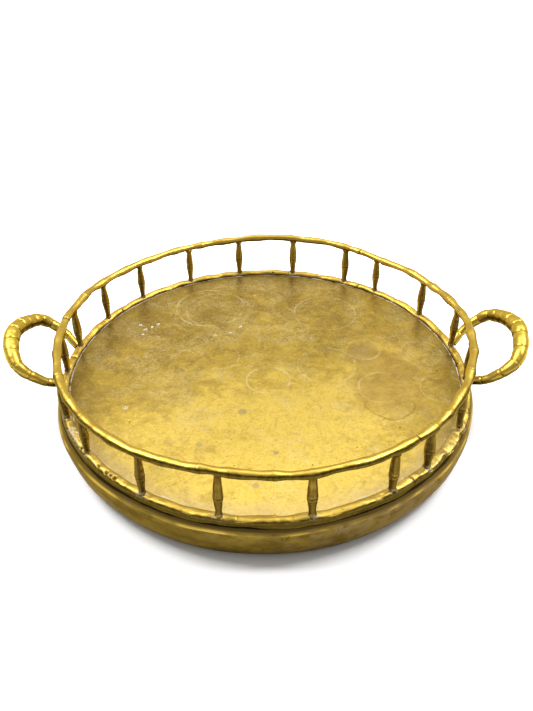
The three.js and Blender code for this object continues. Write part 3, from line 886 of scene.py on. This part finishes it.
def build_handle(side, seed):
    """A loop that swells to the grip, ringed by its bamboo nodes."""
    rng = np.random.default_rng(seed)
    steps, sides = 380, 44
    plane = handle_line(HANDLE_OUTLINE[side], steps)
    length = np.linalg.norm(np.diff(plane, axis=0), axis=1).sum()
    t = np.linspace(0, 1, steps)
    s = t * length
    centres, outward, face = handle_path(plane)
    turn = math.radians(HANDLE_OFF_AXIS_DEG if side == "right" else 180 - HANDLE_OFF_AXIS_DEG)
    spin = np.array(Matrix.Rotation(turn, 3, "Z"))
    radius = HANDLE_END_R + (HANDLE_GRIP_R - HANDLE_END_R) * np.sin(math.pi * t) ** 1.8
    groove = np.zeros(steps)
    rings = HANDLE_RINGS if side == "right" else [(1 - at, depth) for at, depth in HANDLE_RINGS[::-1]]
    places = np.array([at for at, _ in rings]) + rng.uniform(-0.008, 0.008, len(rings))
    edges = np.concatenate([[0], places, [1]]) * length
    for low, high in zip(edges[:-1], edges[1:]):
        inside = (s >= low) & (s <= high)
        u = (s[inside] - low) / (high - low)
        radius[inside] *= 1 + rng.uniform(0.05, 0.11) * (np.sin(math.pi * u) ** 0.8 - 0.5)
    for place, (_, depth) in zip(places * length, rings):
        depth = depth * rng.uniform(0.8, 1.15)
        radius += 0.13 * depth * (bump(s - place - 1.3, 0.95) + bump(s - place + 1.3, 0.95))
        radius -= 0.20 * depth * bump(s - place, 0.60)
        groove = np.maximum(groove, 0.45 * depth * bump(s - place, 0.5))
    relief = [(0.16, 13, seed + 1), (0.05, 5, seed + 2)]
    points = tube(centres, outward, face, radius, radius * 0.96, sides, relief) @ spin.T
    node = f"handle_{side}"
    return make_piece(f"{node}_loop", points, HANDLE_BRASS, node, groove[:, None], 0.05)


# ---------------------------------------------------------------- rivets
def build_rivet(number):
    """A flat head under the floor, a shank, and a low round end in the crest of the rail."""
    node = f"rail_rivet_{number}"
    low, high = box_mm(node)
    middle = (low + high) / 2
    at_front = float(nearness_to_front(math.atan2(middle[1], middle[0])))
    middle = middle + at_front * FRONT_OUT * middle * [1, 1, 0] / np.hypot(middle[0], middle[1])
    bottom, top = low[2], high[2] - 1.0 * at_front
    shank, head = 1.1, (high[0] - low[0]) / 2
    profile = [(0.05, bottom), (head * 0.6, bottom + 0.08), (head * 0.95, bottom + 0.4)]
    profile += [(head, bottom + 0.8), (shank, bottom + 0.85), (shank, top - 0.5)]
    profile += [(shank + 0.25, top - 0.15), (shank + 0.1, top + 0.15), (shank * 0.6, top + 0.33)]
    profile += [(0.05, top + 0.4)]
    profile = arc_points(profile, 60)
    theta = np.arange(24) / 24 * TAU
    points = np.stack([
        middle[0] + profile[:, :1] * np.cos(theta),
        middle[1] + profile[:, :1] * np.sin(theta),
        profile[:, 1:] + 0 * theta,
    ], -1)
    rim = bump(profile[:, 1] - top + 0.2, 0.3)
    return make_piece(f"{node}_pin", points, RIVET_BRASS, node, rim[:, None], 0.5)


# ---------------------------------------------------------------- all the pieces
build_pan()
for section in range(SECTIONS):
    build_lower_rail(section)
    build_top_rail(section)
for number in range(1, BALUSTERS + 1):
    build_baluster(number)
for number in range(1, RIVETS + 1):
    build_rivet(number)
build_handle("right", 301)
build_handle("left", 311)


# ---------------------------------------------------------------- floor, light and camera
STAGE_HALF_M = 40.0


def build_stage():
    half = STAGE_HALF_M
    corners = [(-half, -half, 0), (half, -half, 0), (half, half, 0), (-half, half, 0)]
    mesh = bpy.data.meshes.new("studio_floor")
    mesh.from_pydata(corners, [], [(0, 1, 2, 3)])
    stage = bpy.data.objects.new("studio_floor", mesh)
    bpy.context.scene.collection.objects.link(stage)
    material = bpy.data.materials.new("studio_floor")
    material.use_nodes = True
    shader = material.node_tree.nodes["Principled BSDF"]
    shader.inputs["Base Color"].default_value = (0.95, 0.95, 0.95, 1)
    shader.inputs["Roughness"].default_value = 1.0
    shader.inputs["Specular IOR Level"].default_value = 0.0
    mesh.materials.append(material)


def add_softbox(name, place, aim, size, watts):
    data = bpy.data.lights.new(name, "AREA")
    data.shape = "RECTANGLE"
    data.size, data.size_y = size
    data.energy = watts
    light = bpy.data.objects.new(name, data)
    light.location = place
    light.rotation_euler = (Vector(aim) - Vector(place)).to_track_quat("-Z", "Y").to_euler()
    bpy.context.scene.collection.objects.link(light)


def build_light():
    world = bpy.data.worlds.new("studio")
    bpy.context.scene.world = world
    world.use_nodes = True
    background = world.node_tree.nodes["Background"]
    background.inputs["Color"].default_value = (1, 1, 1, 1)
    # The room is brighter behind the tray than in front of it.
    nodes, links = world.node_tree.nodes, world.node_tree.links
    facing = nodes.new("ShaderNodeSeparateXYZ")
    links.new(nodes.new("ShaderNodeTexCoord").outputs["Generated"], facing.inputs[0])
    strength = nodes.new("ShaderNodeMapRange")
    strength.interpolation_type = "SMOOTHSTEP"
    for label, number in (("From Min", -0.6), ("From Max", 0.3), ("To Min", 0.46), ("To Max", 0.92)):
        strength.inputs[label].default_value = number
    links.new(facing.outputs["Y"], strength.inputs["Value"])
    links.new(strength.outputs["Result"], background.inputs["Strength"])
    # Two softboxes light the ground from the sides, and a strip draws the lines on the rails.
    add_softbox("left", (-1.8, 0.5, 2.9), (0, 0, 0), (1.3, 0.9), 98)
    add_softbox("right", (1.8, 0.5, 2.9), (0, 0, 0), (1.3, 0.9), 98)
    add_softbox("strip", (0.0, 1.4, 3.0), (0, 0, 0), (3.4, 0.6), 30)


# The camera stands in front, looking down at the tray.
CAMERA_DISTANCE = 0.5231
CAMERA_ELEVATION = math.radians(35.42)
CAMERA_ROLL = math.radians(-0.39)
CAMERA_TARGET = Vector((0.0011, 0.0, 0.048))
CAMERA_LENS_MM = 35.44


def build_camera():
    back = Vector((0, -math.cos(CAMERA_ELEVATION), math.sin(CAMERA_ELEVATION)))
    right = Vector((1, 0, 0))
    up = back.cross(right)
    tilted_right = math.cos(CAMERA_ROLL) * right + math.sin(CAMERA_ROLL) * up
    tilted_up = -math.sin(CAMERA_ROLL) * right + math.cos(CAMERA_ROLL) * up
    data = bpy.data.cameras.new("camera")
    data.lens = CAMERA_LENS_MM
    data.clip_start = 0.02
    camera = bpy.data.objects.new("camera", data)
    turn = Matrix((tilted_right, tilted_up, back)).transposed().to_4x4()
    camera.matrix_world = Matrix.Translation(CAMERA_TARGET + CAMERA_DISTANCE * back) @ turn
    bpy.context.scene.collection.objects.link(camera)
    bpy.context.scene.camera = camera


build_stage()
build_light()
build_camera()
bpy.context.scene.view_settings.view_transform = "Standard"
